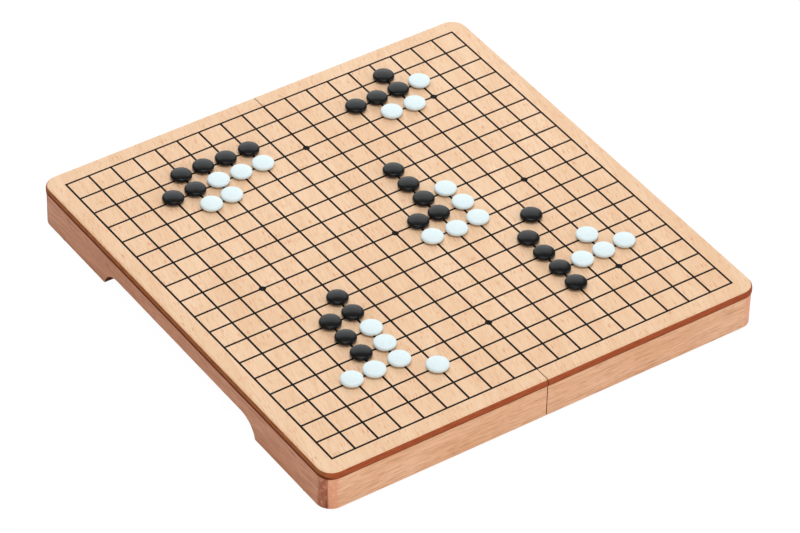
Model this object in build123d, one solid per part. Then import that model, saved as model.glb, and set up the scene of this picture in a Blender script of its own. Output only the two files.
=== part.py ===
"""Folding go board on two shallow boxes, each with a drawer for the stones.

Units are millimetres. The origin is at the middle of the board on the surface it stands on:
+Y runs from the front edge to the back edge along the centre seam, +X to the right, +Z up.
Each half is modelled once, on the right of the seam, and mirrored for the left.
"""
import math
import os
from build123d import *

# ---- playing field ----
lines = 19                 # lines each way
field_x = 16.0             # spacing of the lines that run front to back
field_y = 16.43            # spacing of the lines that run across
margin_x = 12.0            # outermost line to the board's side edge
margin_y = 12.0            # outermost line to the board's front or back edge
line_width = 1.35
line_depth = 0.25
star_diameter = 4.4
star_lines = (3, 9, 15)    # star points lie where these lines cross
veneer_thickness = 0.5

# ---- panel and frame rails ----
core_thickness = 4.4
corner_radius = 10.5
edge_round = 2.3           # round-over along the panel's outer top edges
under_round = 0.5          # and along its outer lower edges
rail_edge_round = 0.8      # along the rails' outer top edges, a shadow line under the panel
panel_overhang = 0.4       # panel edge stands this far outside the rails
seam_gap = 0.6             # between the two halves, with the board laid flat
rail_height = 23.1
rail_width = 10.0
grip_wall_thickness = 6.0
grip_cavity_depth = 22.0   # room for fingers between outer rail and grip wall
cross_rail_thickness = 6.0
bottom_thickness = 3.0
bottom_recess = 1.5        # underside of the bottom panel above the rails' lower edge
groove_depth = 2.0         # the bottom panel's edges sit this deep in the rails

# ---- grip cut-out in the outer rail ----
grip_length = 169.0        # along the rail's lower edge
grip_height = 11.5
grip_end_radius = 15.5

# ---- drawer ----
drawer_depth = 182.0       # outside, from the drawer's face to its back
drawer_clearance = 0.4     # at each side and over the top
drawer_lift = 0.3          # running gap between the drawer and the bottom panel
strip_height = 3.0         # back rail that stays above the drawer opening
front_lower_gap = 0.5      # drawer face above the rails' lower edge
drawer_wall = 4.0
drawer_bottom_thickness = 2.0
drawer_bottom_raise = 0.8  # drawer bottom above the lower edge of the drawer's sides
drawer_groove_depth = 1.5
tray_top_gap = 1.0         # drawer sides below the top of the drawer's face
pull_radius = 9.0          # half-moon finger pull in the drawer's face

# ---- feet ----
pad_diameter = 8.0
pad_thickness = 2.0
pad_from_end = 25.0        # pad centre to the front or back of the rails

# ---- hinges ----
hinge_spacing = 200.0      # between the centres of the two hinges
hinge_length = 30.0
leaf_width = 9.5           # from the hinge axis to the leaf's edge
leaf_thickness = 1.0
knuckles = 5
knuckle_radius = 1.4
knuckle_gap = 0.3          # between neighbouring knuckles, and round them in the wood
axis_drop = 0.3            # hinge axis below the rails' lower edge
pin_radius = 0.6
pin_running_gap = 0.05
screw_spacing = 16.0
screw_from_edge = 4.0      # screw centre to the leaf's edge
screw_head_diameter = 3.8
screw_shank_diameter = 1.9
screw_length = 9.0

# ---- stones ----
stone_diameter = 14.0
stone_thickness = 3.8
stone_rim_height = 0.6     # short upright rim between the two domes
stone_gap = 0.1            # curved underside above the veneer

# Where the stones lie, as (column from the left, row from the front), counted from 0.
black_places = (
    (4, 16), (5, 16), (6, 16), (7, 16), (3, 15), (4, 15), (14, 17), (12, 16), (13, 16),
    (14, 16), (11, 12), (11, 11), (11, 10), (10, 9), (11, 9), (14, 7), (13, 6), (13, 5),
    (13, 4), (13, 3), (5, 7), (4, 6), (5, 6), (4, 5), (4, 4))
white_places = (
    (5, 15), (6, 15), (7, 15), (4, 14), (5, 14), (15, 16), (13, 15), (14, 15), (12, 10),
    (12, 9), (10, 8), (11, 8), (12, 8), (15, 5), (14, 4), (15, 4), (16, 4), (5, 5),
    (5, 4), (3, 3), (4, 3), (5, 3), (6, 2))
# Stones that lie off their crossing, as shares of a field across and to the back.
nudges = {
    (5, 5): (0.10, -0.05), (12, 9): (0.15, 0.05), (12, 8): (0.10, 0.0), (12, 10): (0.05, 0.05),
    (15, 4): (0.0, -0.05), (5, 4): (0.05, 0.0), (3, 3): (-0.10, 0.0), (6, 16): (-0.05, 0.0),
    (14, 4): (0.0, -0.05), (5, 15): (0.0, 0.05), (5, 14): (-0.05, 0.05), (14, 7): (-0.10, 0.05),
    (11, 8): (0.05, -0.10), (4, 3): (-0.10, 0.0), (14, 15): (0.05, -0.05), (10, 9): (0.05, 0.0),
    (5, 16): (-0.05, 0.05), (4, 16): (-0.05, 0.05), (3, 15): (-0.05, 0.05), (4, 15): (-0.05, 0.05)}

# ---- worked out ----
middle_line = (lines - 1) / 2
half_width = middle_line * field_x + margin_x
half_length = middle_line * field_y + margin_y
seam = seam_gap / 2
rail_x = half_width - panel_overhang
rail_y = half_length - panel_overhang
rail_low = pad_thickness
rail_top = rail_low + rail_height
core_top = rail_top + core_thickness
board_top = core_top + veneer_thickness
inner_y = rail_y - rail_width
spine_x = seam + rail_width
cavity_x = rail_x - rail_width
grip_wall_x = cavity_x - grip_cavity_depth
bay_x = grip_wall_x - grip_wall_thickness
bottom_low = rail_low + bottom_recess
bottom_top = bottom_low + bottom_thickness
opening_top = rail_top - strip_height
face_low = rail_low + front_lower_gap
face_top = opening_top - drawer_clearance
drawer_x0 = spine_x + drawer_clearance
drawer_x1 = bay_x - drawer_clearance
drawer_back_y = rail_y - drawer_depth
tray_low = bottom_top + drawer_lift
tray_top = face_top - tray_top_gap
tray_front_y = rail_y - rail_width
axis_z = rail_low - axis_drop


def block(x0, x1, y0, y1, z0, z1):
    """Rectangular piece between two corners."""
    place = Pos((x0 + x1) / 2, (y0 + y1) / 2, (z0 + z1) / 2)
    return place * Box(x1 - x0, y1 - y0, z1 - z0)


def half_outline(side_x, end_y, radius):
    """Plan of one half, square at the seam and rounded at its two outer corners."""
    face = Pos((seam + side_x) / 2, 0) * Rectangle(side_x - seam, 2 * end_y)
    return fillet(face.vertices().group_by(Axis.X)[-1], radius)


def raised(face, z0, z1):
    """Plan face as a solid between two heights."""
    return extrude(Pos(0, 0, z0) * face, z1 - z0)


# ---- playing surface ----
def line_x(column):
    return (column - middle_line) * field_x


def line_y(row):
    return (row - middle_line) * field_y


def field_pattern():
    """Lines and star points of the right half as one flat face."""
    across_end = line_x(lines - 1) + line_width / 2
    along = 2 * line_y(lines - 1) + line_width
    bars = [Pos(across_end / 2, line_y(row)) * Rectangle(across_end, line_width)
            for row in range(lines)]
    bars += [Pos(line_x(column), 0) * Rectangle(line_width, along)
             for column in range(lines) if line_x(column) >= 0]
    bars += [Pos(line_x(column), line_y(row)) * Circle(star_diameter / 2)
             for column in star_lines if line_x(column) >= 0 for row in star_lines]
    return Sketch() + bars


def rounded(blank, level, radius):
    """Rounds the outer edges at the lowest (0) or highest (-1) level, but not those at the seam."""
    edges = blank.edges().group_by(Axis.Z)[level]
    return fillet(edges.filter_by(lambda edge: edge.center().X > spine_x), radius)


def panel_blank():
    """Core and veneer in one, with rounded outer edges."""
    blank = raised(half_outline(half_width, half_length, corner_radius), rail_top, board_top)
    return rounded(rounded(blank, -1, edge_round), 0, under_round)


def veneer():
    """Face veneer with the lines and star points cut into it."""
    below = block(0, 2 * half_width, -half_length, half_length, 0, core_top)
    cuts = raised(field_pattern(), board_top - line_depth, board_top + line_depth)
    return panel_blank() - below - cuts


def core_panel():
    """Panel that carries the veneer; its dark edge shows round the board."""
    return panel_blank() - block(0, 2 * half_width, -half_length, half_length, core_top, 2 * board_top)


# ---- frame ----
def mitred(points):
    """Part of the rounded frame ring that lies inside a plan polygon."""
    outline = half_outline(rail_x, rail_y, corner_radius - panel_overhang)
    blank = rounded(raised(outline, rail_low, rail_top), -1, rail_edge_round)
    ring = blank - block(seam, cavity_x, -inner_y, inner_y, rail_low, rail_top)
    return ring & raised(make_face(Polyline(*points, close=True)), rail_low, rail_top)


def grip_cutter():
    """Cut-out in the outer rail: flat top, round ends, open below."""
    centre_drop = grip_end_radius - grip_height
    reach = math.sqrt(grip_end_radius ** 2 - centre_drop ** 2)
    flat = grip_length / 2 - reach
    half_angle = math.acos(centre_drop / grip_end_radius) / 2
    mid_y = flat + grip_end_radius * math.sin(half_angle)
    mid_z = grip_end_radius * math.cos(half_angle) - centre_drop
    edge = grip_length / 2
    outline = [
        Line((-flat, grip_height), (flat, grip_height)),
        ThreePointArc((flat, grip_height), (mid_y, mid_z), (edge, 0)),
        Line((edge, 0), (edge, -pad_thickness)),
        Line((edge, -pad_thickness), (-edge, -pad_thickness)),
        Line((-edge, -pad_thickness), (-edge, 0)),
        ThreePointArc((-edge, 0), (-mid_y, mid_z), (-flat, grip_height))]
    face = Plane.YZ * make_face(outline)
    return extrude(Pos(cavity_x - rail_width, 0, rail_low) * face, 3 * rail_width)


def outer_rail():
    corner = ((rail_x, -rail_y), (rail_x, rail_y), (cavity_x, inner_y), (cavity_x, -inner_y))
    return mitred(corner) - grip_cutter()


def end_rail():
    """Back rail before its drawer opening; mirrored, the front rail."""
    return mitred(((seam, rail_y), (rail_x, rail_y), (cavity_x, inner_y), (seam, inner_y)))


def back_rail():
    opening = block(spine_x, bay_x, inner_y - rail_width, rail_y + rail_width, 0, opening_top)
    return end_rail() - opening


def front_rail():
    return mirror(end_rail(), about=Plane.XZ) - bottom_blank()


def spine_rail():
    """Rail along the seam, with the hinges let into its underside."""
    rail = block(seam, spine_x, -inner_y, inner_y, rail_low, rail_top) - bottom_blank()
    for y in hinge_places():
        mortise_end = hinge_length / 2 + knuckle_gap
        rail -= block(0, leaf_width, y - mortise_end, y + mortise_end, 0, rail_low + leaf_thickness)
        relief = Cylinder(knuckle_radius + knuckle_gap, 2 * mortise_end, rotation=(90, 0, 0))
        rail -= Pos(0, y, axis_z) * relief
    return rail - [screw(x, y) for x, y in screw_places()]


def grip_wall():
    """Inner wall that keeps fingers out of the drawer bay."""
    wall = block(bay_x, grip_wall_x, -inner_y, inner_y, rail_low + bottom_recess, rail_top)
    return wall - bottom_blank()


def cross_rail():
    """Rail behind the drawer bay that stops the drawer and carries the panel."""
    back = drawer_back_y - drawer_clearance
    return block(spine_x, bay_x, back - cross_rail_thickness, back, bottom_top, rail_top)


def bottom_blank():
    """Bottom panel of the drawer bay, let into the rails at three sides."""
    return block(spine_x - groove_depth, bay_x + groove_depth, -inner_y - groove_depth,
                 inner_y, bottom_low, bottom_top)


# ---- drawer ----
def drawer_face():
    """Drawer's face, flush with the back rail, with a half-moon finger pull."""
    face = block(drawer_x0, drawer_x1, tray_front_y, rail_y, face_low, face_top)
    pull = Cylinder(pull_radius, 3 * rail_width, rotation=(90, 0, 0))
    face -= Pos((drawer_x0 + drawer_x1) / 2, tray_front_y, face_top) * pull
    return face - drawer_bottom()


def drawer_side(x0):
    side = block(x0, x0 + drawer_wall, drawer_back_y, tray_front_y, tray_low, tray_top)
    return side - drawer_bottom()


def drawer_back():
    return block(drawer_x0 + drawer_wall, drawer_x1 - drawer_wall, drawer_back_y,
                 drawer_back_y + drawer_wall, tray_low, tray_top) - drawer_bottom()


def drawer_bottom():
    """Thin bottom, let into the face, the sides and the back."""
    edge = drawer_wall - drawer_groove_depth
    low = tray_low + drawer_bottom_raise
    return block(drawer_x0 + edge, drawer_x1 - edge, drawer_back_y + edge,
                 tray_front_y + drawer_groove_depth, low, low + drawer_bottom_thickness)


# ---- feet ----
def felt_pads():
    pad = Cylinder(pad_diameter / 2, pad_thickness)
    x = rail_x - rail_width / 2
    y = rail_y - pad_from_end
    return Compound(children=[Pos(x, s * y, pad_thickness / 2) * pad for s in (-1, 1)])


# ---- hinges ----
def hinge_places():
    return (-hinge_spacing / 2, hinge_spacing / 2)


def screw_places():
    x = leaf_width - screw_from_edge
    return [(x, y + s * screw_spacing / 2) for y in hinge_places() for s in (-1, 1)]


def screw(x, y):
    """Countersunk wood screw driven upwards, its head flush with the leaf."""
    head = screw_head_diameter / 2
    shank = screw_shank_diameter / 2
    tip = shank / 3
    outline = Polyline((0, 0), (head, 0), (shank, leaf_thickness), (shank, screw_length - 2 * shank),
                       (tip, screw_length), (0, screw_length), close=True)
    return Pos(x, y, rail_low) * revolve(Plane.XZ * make_face(outline), Axis.Z)


def hinge_leaf(y, carries_pin):
    """Leaf on the right of the axis; the leaf that carries the pin has the odd knuckles."""
    pitch = hinge_length / knuckles
    strap_x = knuckle_radius + knuckle_gap + pin_running_gap
    leaf = block(strap_x, leaf_width, y - hinge_length / 2, y + hinge_length / 2,
                 rail_low, rail_low + leaf_thickness)
    bore = pin_radius if carries_pin else pin_radius + pin_running_gap
    for index in range(0 if carries_pin else 1, knuckles, 2):
        centre = y - hinge_length / 2 + (index + 0.5) * pitch
        half = (pitch - knuckle_gap) / 2
        leaf += Pos(0, centre, axis_z) * Cylinder(knuckle_radius, 2 * half, rotation=(90, 0, 0))
        leaf += block(0, strap_x, centre - half, centre + half, rail_low, rail_low + leaf_thickness)
    leaf -= Pos(0, y, axis_z) * Cylinder(bore, 2 * hinge_length, rotation=(90, 0, 0))
    return leaf - [screw(x, place) for x, place in screw_places()]


def hinge_leaves(carries_pin):
    return Compound(children=[hinge_leaf(y, carries_pin) for y in hinge_places()])


def hinge_pins():
    pin = Cylinder(pin_radius, hinge_length, rotation=(90, 0, 0))
    return Compound(children=[Pos(0, y, axis_z) * pin for y in hinge_places()])


def hinge_screws():
    return Compound(children=[screw(x, y) for x, y in screw_places()])


# ---- stones ----
def stone():
    """Biconvex stone centred on its own middle: two domes that meet in a short upright rim."""
    radius = stone_diameter / 2
    half = stone_thickness / 2
    rim = stone_rim_height / 2
    rise = half - rim
    dome = (radius ** 2 + rise ** 2) / (2 * rise)
    mid_z = half - dome + math.sqrt(dome ** 2 - (radius / 2) ** 2)
    outline = [
        Line((0, -half), (0, half)),
        ThreePointArc((0, half), (radius / 2, mid_z), (radius, rim)),
        Line((radius, rim), (radius, -rim)),
        ThreePointArc((radius, -rim), (radius / 2, -mid_z), (0, -half))]
    return revolve(Plane.XZ * make_face(outline), Axis.Z)


def stones(places, side):
    """Stones that lie on one half: side is -1 on the left and 1 on the right."""
    one = stone()
    z = board_top + stone_gap + stone_thickness / 2
    laid = []
    for column, row in places:
        across, back = nudges.get((column, row), (0, 0))
        x = line_x(column) + across * field_x
        if x * side > 0:
            laid.append(Pos(x, line_y(row) + back * field_y, z) * one)
    return Compound(children=laid)


def half_pieces():
    """Pieces that both halves have, as modelled on the right."""
    return {
        "veneer": veneer(), "core_panel": core_panel(), "outer_rail": outer_rail(),
        "front_rail": front_rail(), "back_rail": back_rail(), "spine_rail": spine_rail(),
        "grip_wall": grip_wall(), "cross_rail": cross_rail(), "bottom_panel": bottom_blank(),
        "drawer_front": drawer_face(), "drawer_inner_side": drawer_side(drawer_x0),
        "drawer_outer_side": drawer_side(drawer_x1 - drawer_wall), "drawer_back": drawer_back(),
        "drawer_bottom": drawer_bottom(), "felt_pads": felt_pads(), "hinge_screws": hinge_screws()}


def all_pieces():
    pieces = {}
    for name, shape in half_pieces().items():
        pieces[name + "_right"] = shape
        pieces[name + "_left"] = mirror(shape, about=Plane.YZ)
    pieces["hinge_leaves_left"] = mirror(hinge_leaves(True), about=Plane.YZ)
    pieces["hinge_leaves_right"] = hinge_leaves(False)
    pieces["hinge_pins"] = hinge_pins()
    for side, word in ((-1, "left"), (1, "right")):
        pieces["black_stones_" + word] = stones(black_places, side)
        pieces["white_stones_" + word] = stones(white_places, side)
    return pieces


os.makedirs("parts", exist_ok=True)
for node, shape in all_pieces().items():
    export_step(shape, "parts/" + node + ".step")
print("board", 2 * half_width, "x", 2 * half_length, "x", board_top)
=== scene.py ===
"""Looks of the folding go board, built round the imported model. Lengths are in metres."""
import math
import random

import bmesh
import bpy
from mathutils import Matrix, Vector


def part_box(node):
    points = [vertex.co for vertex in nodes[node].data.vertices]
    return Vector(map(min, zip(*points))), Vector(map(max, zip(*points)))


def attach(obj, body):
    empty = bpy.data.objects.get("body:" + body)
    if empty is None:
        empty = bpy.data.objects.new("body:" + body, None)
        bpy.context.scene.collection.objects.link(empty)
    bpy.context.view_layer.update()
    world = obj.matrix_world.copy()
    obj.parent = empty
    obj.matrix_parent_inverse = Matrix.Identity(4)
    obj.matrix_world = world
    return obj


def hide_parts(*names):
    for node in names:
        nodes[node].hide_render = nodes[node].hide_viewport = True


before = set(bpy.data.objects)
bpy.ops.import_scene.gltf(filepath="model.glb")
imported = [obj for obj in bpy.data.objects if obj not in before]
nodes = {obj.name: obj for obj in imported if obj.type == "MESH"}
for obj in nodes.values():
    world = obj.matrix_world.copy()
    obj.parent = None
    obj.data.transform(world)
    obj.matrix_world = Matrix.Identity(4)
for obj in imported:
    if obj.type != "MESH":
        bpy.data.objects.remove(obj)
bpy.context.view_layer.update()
MM = 0.001

# ---- sizes, from the frame where it has them ----
LINES = 19
FIELD = Vector((16.0, 16.43)) * MM      # spacing of the lines across and along
LINE_WIDTH = 1.35 * MM
LINE_DEPTH = 0.25 * MM
INK_BELOW = 0.02 * MM                   # the ink lies this far under the face
INK_CLEAR = 0.01 * MM                   # and this far over the groove's floor
BLEED = 0.08 * MM                       # how far ink creeps into the wood beside a line
STAR_RADIUS = 2.2 * MM
DOT_CLEAR = 0.005 * MM                  # gap round the ink of a star point
STAR_LINES = (3, 9, 15)
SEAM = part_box("veneer_right")[0].x     # half the gap between the two halves
BOARD_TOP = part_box("veneer_right")[1].z
RAIL_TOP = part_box("outer_rail_right")[1].z
SIDES = {"left": -1, "right": 1}


# ---- node helpers ----
class Nodes:
    """Short way to build one material's node tree."""

    def __init__(self, name):
        self.material = bpy.data.materials.new(name)
        self.material.use_nodes = True
        self.tree = self.material.node_tree
        self.shader = self.tree.nodes["Principled BSDF"]
        coordinates = self.tree.nodes.new("ShaderNodeTexCoord")
        self.coords, self.normal = coordinates.outputs["Object"], coordinates.outputs["Normal"]

    def link(self, source, target):
        self.tree.links.new(source, target)

    def fill(self, node, inputs):
        for key, value in inputs.items():
            if isinstance(value, bpy.types.NodeSocket):
                self.link(value, node.inputs[key])
            else:
                node.inputs[key].default_value = value

    def mapped(self, size, seed=0, turn=0.0):
        """Coordinates in which one unit is a size in millimetres, turned about Z."""
        node = self.tree.nodes.new("ShaderNodeMapping")
        node.vector_type = "TEXTURE"
        self.fill(node, {"Vector": self.coords, "Scale": [value * MM for value in size],
                         "Rotation": (0, 0, turn), "Location": (seed * 0.37, seed * 0.61, seed * 0.13)})
        return node.outputs["Vector"]

    def noise(self, size, detail=3.0, roughness=0.5, distortion=0.0, seed=0, turn=0.0):
        """Noise whose features have roughly a size in millimetres along each axis."""
        node = self.tree.nodes.new("ShaderNodeTexNoise")
        self.fill(node, {"Vector": self.mapped(size, seed, turn), "Scale": 1.0, "Detail": detail,
                         "Roughness": roughness, "Distortion": distortion})
        return node.outputs["Fac"]

    def ramp(self, factor, low, high, colour_low=(0, 0, 0, 1), colour_high=(1, 1, 1, 1)):
        node = self.tree.nodes.new("ShaderNodeValToRGB")
        self.link(factor, node.inputs["Fac"])
        first, last = node.color_ramp.elements
        first.position, last.position = low, high
        first.color, last.color = colour_low, colour_high
        return node.outputs["Color"]

    def mix(self, factor, first, second, blend="MIX"):
        node = self.tree.nodes.new("ShaderNodeMix")
        node.data_type = "RGBA"
        node.blend_type = blend
        for key, value in (("Factor", factor), ("A", first), ("B", second)):
            socket = next(s for s in node.inputs if s.name == key and s.enabled)
            if isinstance(value, bpy.types.NodeSocket):
                self.link(value, socket)
            else:
                socket.default_value = value
        return next(s for s in node.outputs if s.enabled)

    def math(self, operation, first, second=0.0):
        node = self.tree.nodes.new("ShaderNodeMath")
        node.operation = operation
        self.fill(node, {0: first, 1: second})
        return node.outputs[0]

    def facing(self, along):
        """How squarely a surface faces along one object axis, 0 to 1."""
        split = self.tree.nodes.new("ShaderNodeSeparateXYZ")
        self.link(self.normal, split.inputs[0])
        return self.math("ABSOLUTE", split.outputs[along])

    def bump(self, height, strength, distance):
        node = self.tree.nodes.new("ShaderNodeBump")
        self.fill(node, {"Height": height, "Strength": strength, "Distance": distance})
        self.link(node.outputs["Normal"], self.shader.inputs["Normal"])


def srgb(red, green, blue):
    """Linear colour of an 8-bit sRGB one."""
    def linear(value):
        value /= 255
        return value / 12.92 if value <= 0.04045 else ((value + 0.055) / 1.055) ** 2.4
    return (linear(red), linear(green), linear(blue), 1.0)


# ---- materials ----
def stretched(across, length, along):
    """Size of a mark that is long in one axis (0 X, 1 Y, 2 Z)."""
    size = [across] * 3
    size[along] = length
    return size


def beech(name, tones, along, seed, turn=0.0, figure=0.7, flecks=0.4, end_share=0.85, wave=0.9,
          shaded_edges=False):
    """Beech: soft patches, wavy growth lines, short fine flecks and darker end grain.

    The grain runs along one object axis. On a rail with shaded edges, the deepest tone is also painted
    on faces that look up or down, as painted shade in the groove beside the dark panel and in the
    cut-out. Wood without end grain is the inked face.
    """
    n = Nodes(name)
    light, dark, streak, fleck, end, deep_end_and_shade = (srgb(*tone) for tone in tones)
    patches = n.noise(stretched(16, 60, along), 3.0, 0.55, 0.5, seed, turn)
    colour = n.mix(n.ramp(patches, 0.32, 0.68), light, dark)
    growth = n.noise(stretched(wave, 18 * wave, along), 3.0, 0.6, 0.9, seed + 1, turn)
    colour = n.mix(n.math("MULTIPLY", n.ramp(growth, 0.46, 0.66), figure), colour, streak)
    marks = n.noise(stretched(0.5, 6.5, along), 1.0, 0.5, 0.0, seed + 2, turn)
    groups = n.noise((9, 9, 9), 2.0, 0.5, 0.0, seed + 3)
    mask = n.math("MULTIPLY", n.ramp(marks, 0.58, 0.70), n.ramp(groups, 0.30, 0.60))
    colour = n.mix(n.math("MULTIPLY", mask, flecks), colour, fleck)
    blotch = n.noise((3.0, 3.0, 3.6), 4.0, 0.65, 0.8, seed + 4)
    facing = n.facing(along)
    end_grain = n.math("MULTIPLY", n.ramp(facing, 0.03, 0.28), n.ramp(blotch, 0.30, 0.56))
    colour = n.mix(n.math("MULTIPLY", end_grain, end_share), colour, end)
    if end_share:
        # Deepest tone: real end grain on faces across the grain, and painted shade on up- and
        # down-facing faces of rails with shaded edges and in the cut-out.
        across = n.math("ADD", facing, n.facing(2)) if shaded_edges else facing
        colour = n.mix(n.ramp(across, 0.74, 0.92), colour, deep_end_and_shade)
    else:
        colour = n.mix(line_bleed(n), colour, srgb(10, 7, 6))
    n.link(colour, n.shader.inputs["Base Color"])
    n.shader.inputs["Roughness"].default_value = 0.5
    n.shader.inputs["Specular IOR Level"].default_value = 0.22
    n.bump(marks, 0.05, 0.0002)
    return n.material


def line_bleed(n):
    """Ink that has crept a hair's breadth into the wood on both sides of every line."""
    split = n.tree.nodes.new("ShaderNodeSeparateXYZ")
    n.link(n.coords, split.inputs[0])
    near, inside = [], []
    for axis, pitch in enumerate(FIELD):
        place = n.math("DIVIDE", split.outputs[axis], pitch)
        off = n.math("ABSOLUTE", n.math("SUBTRACT", place, n.math("ROUND", place)))
        edge = LINE_WIDTH / 2 / pitch
        near.append(n.math("SUBTRACT", 1.0, n.ramp(off, edge, edge + BLEED / pitch)))
        inside.append(n.math("LESS_THAN", n.math("ABSOLUTE", place), (LINES - 1) / 2 + edge))
    field = n.math("MULTIPLY", inside[0], inside[1])
    return n.math("MULTIPLY", n.math("MAXIMUM", near[0], near[1]), field)


SHADE_LINE_SPAN = 3.0 * MM       # height over the rails in which the painted shade line fades out
SHADE_LINE_FADE = 0.26, 0.38     # shares of it: painted shade dark up to here, gone there
SHADE_LINE_SIDE_SHARE = 0.38     # how much higher the painted shade reaches at the two sides


def dark_core():
    """Dark brown panel edge: fine layers under a clear finish, browner at the two sides, with painted
    shade along its foot over the rails that reaches higher at the two sides.
    """
    n = Nodes("dark_core_look")
    streaks = n.noise((6, 6, 0.7), 3.0, 0.6, 0.3)
    grain = n.noise((0.3, 0.3, 0.3), 2.0, 0.5)
    ends = n.mix(n.ramp(streaks, 0.30, 0.70), srgb(172, 90, 56), srgb(140, 68, 40))
    sides = n.mix(n.ramp(streaks, 0.30, 0.70), srgb(168, 106, 66), srgb(122, 72, 42))
    at_side = n.ramp(n.facing(0), 0.45, 0.9)
    colour = n.mix(at_side, ends, sides)
    split = n.tree.nodes.new("ShaderNodeSeparateXYZ")
    n.link(n.coords, split.inputs[0])
    # Painted shade: the band's foot is darkened where the gap over the rails lies in shadow, higher up
    # at the two sides.
    height = n.math("DIVIDE", n.math("SUBTRACT", split.outputs["Z"], RAIL_TOP), SHADE_LINE_SPAN)
    height = n.math("SUBTRACT", height, n.math("MULTIPLY", at_side, SHADE_LINE_SIDE_SHARE))
    painted_shade_line = n.ramp(height, *SHADE_LINE_FADE, srgb(104, 42, 20), (1, 1, 1, 1))
    n.link(n.mix(1.0, colour, painted_shade_line, "DARKEN"), n.shader.inputs["Base Color"])
    n.shader.inputs["Roughness"].default_value = 0.5
    n.shader.inputs["Specular IOR Level"].default_value = 0.02
    n.bump(grain, 0.08, 0.0001)
    return n.material


def ink():
    """Black line ink, a little uneven."""
    n = Nodes("ink_look")
    wear = n.noise((0.4, 0.4, 0.4), 2.0, 0.6)
    n.link(n.ramp(wear, 0.25, 0.8, srgb(6, 4, 4), srgb(16, 11, 9)), n.shader.inputs["Base Color"])
    n.shader.inputs["Roughness"].default_value = 0.7
    n.shader.inputs["Specular IOR Level"].default_value = 0.15
    n.bump(wear, 0.15, 0.00005)
    return n.material


def stone_glass(name, low, high, roughness):
    """Polished stone body with faint mottling."""
    n = Nodes(name)
    n.link(n.ramp(n.noise((2.4, 2.4, 2.4), 3.0, 0.6), 0.3, 0.7, srgb(*low), srgb(*high)),
           n.shader.inputs["Base Color"])
    n.shader.inputs["Roughness"].default_value = roughness
    n.shader.inputs["Specular IOR Level"].default_value = 0.16
    n.bump(n.noise((0.2, 0.2, 0.2), 2.0, 0.5), 0.04, 0.00005)
    return n.material


def plywood():
    n = Nodes("plywood_look")
    grain = n.noise((3.8, 45, 3.8), 4.0, 0.6, 0.4)
    n.link(n.ramp(grain, 0.3, 0.7, srgb(222, 190, 150), srgb(196, 156, 112)),
           n.shader.inputs["Base Color"])
    n.shader.inputs["Roughness"].default_value = 0.6
    n.bump(grain, 0.1, 0.0002)
    return n.material


def brass():
    n = Nodes("brass_look")
    tarnish = n.noise((3.3, 3.3, 3.3), 4.0, 0.6)
    n.link(n.ramp(tarnish, 0.3, 0.75, srgb(214, 178, 104), srgb(178, 138, 72)),
           n.shader.inputs["Base Color"])
    n.shader.inputs["Metallic"].default_value = 1.0
    n.link(n.ramp(tarnish, 0.3, 0.8, (0.26, 0.26, 0.26, 1), (0.42, 0.42, 0.42, 1)),
           n.shader.inputs["Roughness"])
    n.bump(n.noise((0.33, 3.3, 0.33), 2.0, 0.5), 0.06, 0.00005)
    return n.material


def felt():
    n = Nodes("felt_look")
    fibre = n.noise((0.4, 0.4, 0.4), 4.0, 0.7, 1.2)
    n.link(n.ramp(fibre, 0.3, 0.7, srgb(24, 34, 30), srgb(58, 70, 62)), n.shader.inputs["Base Color"])
    n.shader.inputs["Roughness"].default_value = 0.95
    n.bump(fibre, 0.6, 0.0004)
    return n.material


# Tones of beech: light, dark, growth lines, flecks, rounded corners, and the deepest tone, end grain
# that also stands for painted shade on top edges and in cut-out ends.
FACE = ((232, 200, 167), (225, 188, 152), (215, 170, 130), (200, 124, 80),
        (214, 160, 120), (214, 160, 120))
FRONT = ((234, 190, 156), (224, 174, 136), (186, 130, 92), (160, 102, 70),
         (220, 142, 110), (140, 66, 40))
RAIL = ((234, 190, 156), (224, 174, 136), (190, 134, 96), (160, 102, 70),
        (220, 160, 122), (196, 134, 96))
# Side rails: the same beech as the other rails, with every tone darker as painted shade.
SIDE = (210, 154, 124), (196, 137, 105), (150, 98, 70), (146, 90, 64), (146, 74, 44), (96, 44, 26)
FACE_TURN = math.radians(-13.5)     # the veneer's grain leans away from the lines

looks = {
    "veneer": beech("face_beech_look", FACE, 1, 3, FACE_TURN, 0.35, 0.75, 0.0, 1.9),
    "side_rail": beech("side_beech_look", SIDE, 1, 7, shaded_edges=True),
    "end_rail": beech("front_beech_look", FRONT, 0, 5, end_share=0.7, shaded_edges=True),
    "rail_y": beech("along_beech_look", RAIL, 1, 11, end_share=0.4),
    "rail_x": beech("across_beech_look", RAIL, 0, 9, end_share=0.4),
    "core_panel": dark_core(), "plywood": plywood(), "brass": brass(), "felt_pads": felt(),
    "ink": ink(),
    "black": stone_glass("black_stone_look", (15, 14, 14), (21, 20, 20), 0.22),
    "white": stone_glass("white_stone_look", (213, 230, 234), (220, 235, 239), 0.34),
}
NODE_LOOKS = {
    "veneer": "veneer", "core_panel": "core_panel", "outer_rail": "side_rail", "spine_rail": "rail_y",
    "grip_wall": "rail_y", "drawer_inner_side": "rail_y", "drawer_outer_side": "rail_y",
    "front_rail": "end_rail", "back_rail": "end_rail", "cross_rail": "rail_x", "drawer_front": "rail_x",
    "drawer_back": "rail_x", "bottom_panel": "plywood", "drawer_bottom": "plywood",
    "felt_pads": "felt_pads", "hinge_leaves": "brass", "hinge_screws": "brass", "hinge_pins": "brass",
    "black_stones": "black", "white_stones": "white"}


def dress_nodes():
    """Gives every carried-over node its finish."""
    for name, node in nodes.items():
        kind = name.removesuffix("_left").removesuffix("_right")
        node.data.materials.clear()
        node.data.materials.append(looks[NODE_LOOKS[kind]])


BROKEN_EDGE = 0.35 * MM


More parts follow.
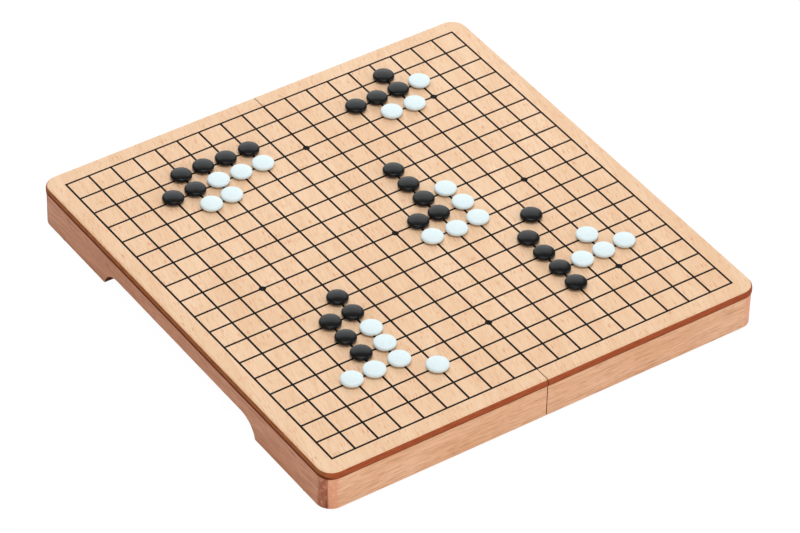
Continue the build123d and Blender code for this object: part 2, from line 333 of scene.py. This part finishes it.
def soften(node, width, angle=40):
    """Broken edges: sanded wood and rounded metal have no knife edges."""
    weld = node.modifiers.new("weld", "WELD")
    weld.merge_threshold = 0.000002
    bevel = node.modifiers.new("edge", "BEVEL")
    bevel.width = width
    bevel.segments = 3
    bevel.limit_method = "ANGLE"
    bevel.angle_limit = math.radians(angle)
    bevel.harden_normals = False


# ---- field lines ----
def intervals(count, pitch, low, high):
    """Both edges of each line along one axis, cut to a range."""
    marks = []
    for index in range(count):
        centre = (index - (count - 1) / 2) * pitch
        edges = max(low, centre - LINE_WIDTH / 2), min(high, centre + LINE_WIDTH / 2)
        if edges[1] > edges[0]:
            marks.append(edges)
    return marks


def field_lines(side):
    """One half's lines as one closed inlay in the veneer's grooves."""
    sign = SIDES[side]
    reach = (LINES - 1) / 2 * FIELD.x + LINE_WIDTH / 2
    low, high = sorted((sign * SEAM, sign * reach))
    columns = intervals(LINES, FIELD.x, low, high)
    rows = intervals(LINES, FIELD.y, -1.0, 1.0)
    xs = sorted({edge for pair in columns for edge in pair})
    ys = sorted({edge for pair in rows for edge in pair})
    top = BOARD_TOP - INK_BELOW
    mesh = bmesh.new()
    grid = {(x, y): mesh.verts.new((x, y, top)) for x in xs for y in ys}
    column_set, row_set = set(columns), set(rows)
    for x0, x1 in zip(xs, xs[1:]):
        for y0, y1 in zip(ys, ys[1:]):
            if (x0, x1) in column_set or (y0, y1) in row_set:
                mesh.faces.new([grid[corner] for corner in ((x0, y0), (x1, y0), (x1, y1), (x0, y1))])
    sides = bmesh.ops.extrude_face_region(mesh, geom=mesh.faces[:])
    moved = [item for item in sides["geom"] if isinstance(item, bmesh.types.BMVert)]
    bmesh.ops.translate(mesh, verts=moved, vec=(0, 0, INK_BELOW + INK_CLEAR - LINE_DEPTH))
    bmesh.ops.recalc_face_normals(mesh, faces=mesh.faces[:])
    add_piece("field_lines_" + side, mesh, looks["ink"], side + "_half")


def star_points(side):
    """Round dots on the star crossings, level with the lines."""
    sign = SIDES[side]
    mesh = bmesh.new()
    for column in STAR_LINES:
        x = (column - (LINES - 1) / 2) * FIELD.x
        if x * sign < 0:
            continue
        for row in STAR_LINES:
            y = (row - (LINES - 1) / 2) * FIELD.y
            disc(mesh, x, y, sign if abs(x) < MM else 0)
    bmesh.ops.recalc_face_normals(mesh, faces=mesh.faces[:])
    add_piece("star_points_" + side, mesh, looks["ink"], side + "_half")


def disc(mesh, x, y, half_sign, steps=48):
    """A flat dot; half_sign keeps only the half of it on that side of the seam."""
    top, low = BOARD_TOP - INK_BELOW / 2, BOARD_TOP - LINE_DEPTH + DOT_CLEAR
    radius = STAR_RADIUS - DOT_CLEAR
    start, span = 0.0, 2 * math.pi
    outline = []
    if half_sign:
        tilt = math.acos(SEAM / radius)
        start, span = -tilt, 2 * tilt
    count = steps if not half_sign else steps // 2 + 1
    for index in range(count):
        turn = start + span * index / (count if not half_sign else count - 1)
        sx = half_sign if half_sign else 1
        outline.append((x + sx * radius * math.cos(turn), y + radius * math.sin(turn)))
    uppers = [mesh.verts.new((px, py, top)) for px, py in outline]
    lowers = [mesh.verts.new((px, py, low)) for px, py in outline]
    mesh.faces.new(uppers)
    mesh.faces.new(lowers[::-1])
    for index in range(len(outline)):
        after = (index + 1) % len(outline)
        mesh.faces.new((uppers[index], uppers[after], lowers[after], lowers[index]))


def add_piece(name, mesh, material, body, smooth=False):
    """Turns a bmesh into a named piece that rides on a body."""
    data = bpy.data.meshes.new(name)
    mesh.to_mesh(data)
    mesh.free()
    data.materials.append(material)
    if smooth:
        data.shade_smooth()
    piece = bpy.data.objects.new(name, data)
    bpy.context.scene.collection.objects.link(piece)
    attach(piece, body)
    return piece


# ---- stones ----
STONE_RADIUS = {"black": 6.9 * MM, "white": 7.1 * MM}
STONE_EDGE = 1.3 * MM       # radius of the rounded rim
EDGE_STEPS, DOME_STEPS, STONE_STEPS = 8, 6, 56


def stone_centres(node):
    """Middle of each stone in a group node, from its loose parts."""
    mesh = bmesh.new()
    mesh.from_mesh(node.data)
    bmesh.ops.remove_doubles(mesh, verts=mesh.verts[:], dist=0.01 * MM)
    left, centres = set(mesh.verts), []
    while left:
        queue, island = [left.pop()], []
        while queue:
            vertex = queue.pop()
            island.append(vertex.co.copy())
            for edge in vertex.link_edges:
                other = edge.other_vert(vertex)
                if other in left:
                    left.remove(other)
                    queue.append(other)
        low = [min(point[axis] for point in island) for axis in range(3)]
        high = [max(point[axis] for point in island) for axis in range(3)]
        centres.append((Vector(low) + Vector(high)) / 2)
    mesh.free()
    return sorted(centres, key=lambda centre: (round(centre.y, 5), round(centre.x, 5)))


def stone_profile(radius, half):
    """Upper half of a stone's outline from the rim to near the pole: round edge, then dome."""
    reach = radius - STONE_EDGE
    dome = (reach ** 2 + half ** 2 - STONE_EDGE ** 2) / (2 * (half - STONE_EDGE))
    join = math.asin(reach / (dome - STONE_EDGE))
    profile = []
    for step in range(EDGE_STEPS):
        tilt = math.pi / 2 + (join - math.pi / 2) * step / EDGE_STEPS
        profile.append((reach + STONE_EDGE * math.sin(tilt), STONE_EDGE * math.cos(tilt)))
    for step in range(DOME_STEPS):
        tilt = join * (1 - step / DOME_STEPS)
        profile.append((dome * math.sin(tilt), half - dome + dome * math.cos(tilt)))
    return profile


def add_stone(mesh, centre, radius, half):
    """One biconvex stone: rings from the top over the rim to the underside, and two poles."""
    upper = stone_profile(radius, half)
    outline = upper[::-1] + [(across, -height) for across, height in upper[1:]]
    rings = []
    turns = [2 * math.pi * step / STONE_STEPS for step in range(STONE_STEPS)]
    for across, height in outline:
        points = [Vector((across * math.cos(turn), across * math.sin(turn), height)) for turn in turns]
        rings.append([mesh.verts.new(centre + point) for point in points])
    top = mesh.verts.new(centre + Vector((0, 0, half)))
    low = mesh.verts.new(centre - Vector((0, 0, half)))
    for step in range(STONE_STEPS):
        after = (step + 1) % STONE_STEPS
        mesh.faces.new((top, rings[0][step], rings[0][after]))
        mesh.faces.new((low, rings[-1][after], rings[-1][step]))
        for above, under in zip(rings, rings[1:]):
            mesh.faces.new((above[step], under[step], under[after], above[after]))


def stones(colour, side):
    """Smooth, full stones in place of the plainer group, each a touch different in size."""
    name = colour + "_stones_" + side
    low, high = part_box(name)
    pick = random.Random(name)
    mesh = bmesh.new()
    for centre in stone_centres(nodes[name]):
        radius = STONE_RADIUS[colour] * pick.uniform(0.985, 1.01)
        add_stone(mesh, centre, radius, (high.z - low.z) / 2 * pick.uniform(0.97, 1.0))
    piece = add_piece(name + "_look", mesh, looks[colour], side + "_stones", smooth=True)
    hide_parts(name)


# ---- camera and light ----
KEY_TINT, PLAIN_TINT = (0.96, 1.0, 1.03), (1, 1, 1)
LAMPS = {                   # place, size in metres, watts, colour; all aim at the board's middle
    "back_softbox": ((0.9, 1.55, 1.05), 1.5, 17, KEY_TINT),
    "top_softbox": ((0.1, 0.1, 2.0), 0.9, 17, KEY_TINT),
    "right_fill": ((2.0, -1.9, 1.0), 1.5, 21, PLAIN_TINT),
    "front_fill": ((-0.7, -0.95, 0.3), 0.5, 2.4, PLAIN_TINT)}
CAMERA_PLACE = Vector((-1.20717, -1.71837, BOARD_TOP + 1.74066))
CAMERA_RIGHT = Vector((0.827256, -0.561429, 0.021097))
CAMERA_UP = Vector((0.348265, 0.541905, 0.764886))
LENS_MM, SENSOR_MM = 202.1, 36.0
FLOOR_CLEAR = 0.93         # share of the ground that the camera sees through


def make_camera():
    data = bpy.data.cameras.new("camera")
    data.lens = LENS_MM
    data.sensor_width = SENSOR_MM
    data.clip_end = 50
    camera = bpy.data.objects.new("camera", data)
    bpy.context.scene.collection.objects.link(camera)
    right = CAMERA_RIGHT.normalized()
    back = right.cross(CAMERA_UP).normalized()
    up = back.cross(right)
    turn = Matrix((right, up, back)).transposed().to_4x4()
    camera.matrix_world = Matrix.Translation(CAMERA_PLACE) @ turn
    bpy.context.scene.camera = camera


def area_light(name, place, size, watts, colour):
    data = bpy.data.lights.new(name, "AREA")
    data.size = size
    data.energy = watts
    data.color = colour
    lamp = bpy.data.objects.new(name, data)
    bpy.context.scene.collection.objects.link(lamp)
    lamp.location = place
    lamp.rotation_mode = "QUATERNION"
    lamp.rotation_quaternion = (-Vector(place)).to_track_quat("-Z", "Y")


def make_world():
    """Soft even light; the camera sees white, reflections see white low down and a dim ceiling."""
    world = bpy.data.worlds.new("world")
    bpy.context.scene.world = world
    world.use_nodes = True
    tree = world.node_tree
    light = tree.nodes["Background"]
    light.inputs["Color"].default_value = (1.0, 0.91, 0.84, 1)
    light.inputs["Strength"].default_value = 0.48
    seen = tree.nodes.new("ShaderNodeBackground")
    seen.inputs["Color"].default_value = (1, 1, 1, 1)
    seen.inputs["Strength"].default_value = 1.05
    mirrored = tree.nodes.new("ShaderNodeBackground")
    split = tree.nodes.new("ShaderNodeSeparateXYZ")
    tree.links.new(tree.nodes.new("ShaderNodeTexCoord").outputs["Generated"], split.inputs[0])
    ramp = tree.nodes.new("ShaderNodeValToRGB")
    tree.links.new(split.outputs["Z"], ramp.inputs["Fac"])
    tree.links.new(ramp.outputs["Color"], mirrored.inputs["Color"])
    horizon, ceiling = ramp.color_ramp.elements
    horizon.position, horizon.color = 0.22, (1, 1, 1, 1)
    ceiling.position, ceiling.color = 0.62, (0.12, 0.12, 0.12, 1)
    path = tree.nodes.new("ShaderNodeLightPath")
    chosen = light.outputs[0]
    shown = {"Is Transmission Ray": seen, "Is Glossy Ray": mirrored, "Is Camera Ray": seen}
    for ray, shader in shown.items():
        mix = tree.nodes.new("ShaderNodeMixShader")
        tree.links.new(path.outputs[ray], mix.inputs["Fac"])
        tree.links.new(chosen, mix.inputs[1])
        tree.links.new(shader.outputs[0], mix.inputs[2])
        chosen = mix.outputs[0]
    tree.links.new(chosen, tree.nodes["World Output"].inputs["Surface"])


def make_floor():
    """White ground that keeps a faint shadow; the camera sees mostly what lies behind it."""
    mesh = bmesh.new()
    bmesh.ops.create_grid(mesh, x_segments=1, y_segments=1, size=3.0)
    data = bpy.data.meshes.new("floor")
    mesh.to_mesh(data)
    mesh.free()
    floor = bpy.data.objects.new("floor", data)
    bpy.context.scene.collection.objects.link(floor)
    n = Nodes("floor_look")
    n.fill(n.shader, {"Base Color": (0.9, 0.9, 0.9, 1), "Roughness": 0.9})
    clear = n.tree.nodes.new("ShaderNodeBsdfTransparent")
    path = n.tree.nodes.new("ShaderNodeLightPath")
    mix = n.tree.nodes.new("ShaderNodeMixShader")
    n.link(n.math("MULTIPLY", path.outputs["Is Camera Ray"], FLOOR_CLEAR), mix.inputs["Fac"])
    n.link(n.shader.outputs[0], mix.inputs[1])
    n.link(clear.outputs[0], mix.inputs[2])
    n.link(mix.outputs[0], n.tree.nodes["Material Output"].inputs["Surface"])
    data.materials.append(n.material)


dress_nodes()
for node_name in nodes:
    if node_name.startswith(("outer_rail", "front_rail", "back_rail", "drawer_front")):
        soften(nodes[node_name], BROKEN_EDGE)
for half in SIDES:
    field_lines(half)
    star_points(half)
    stones("black", half)
    stones("white", half)
make_camera()
make_world()
for lamp_name, settings in LAMPS.items():
    area_light(lamp_name, *settings)
make_floor()
bpy.context.scene.view_settings.view_transform = "Standard"
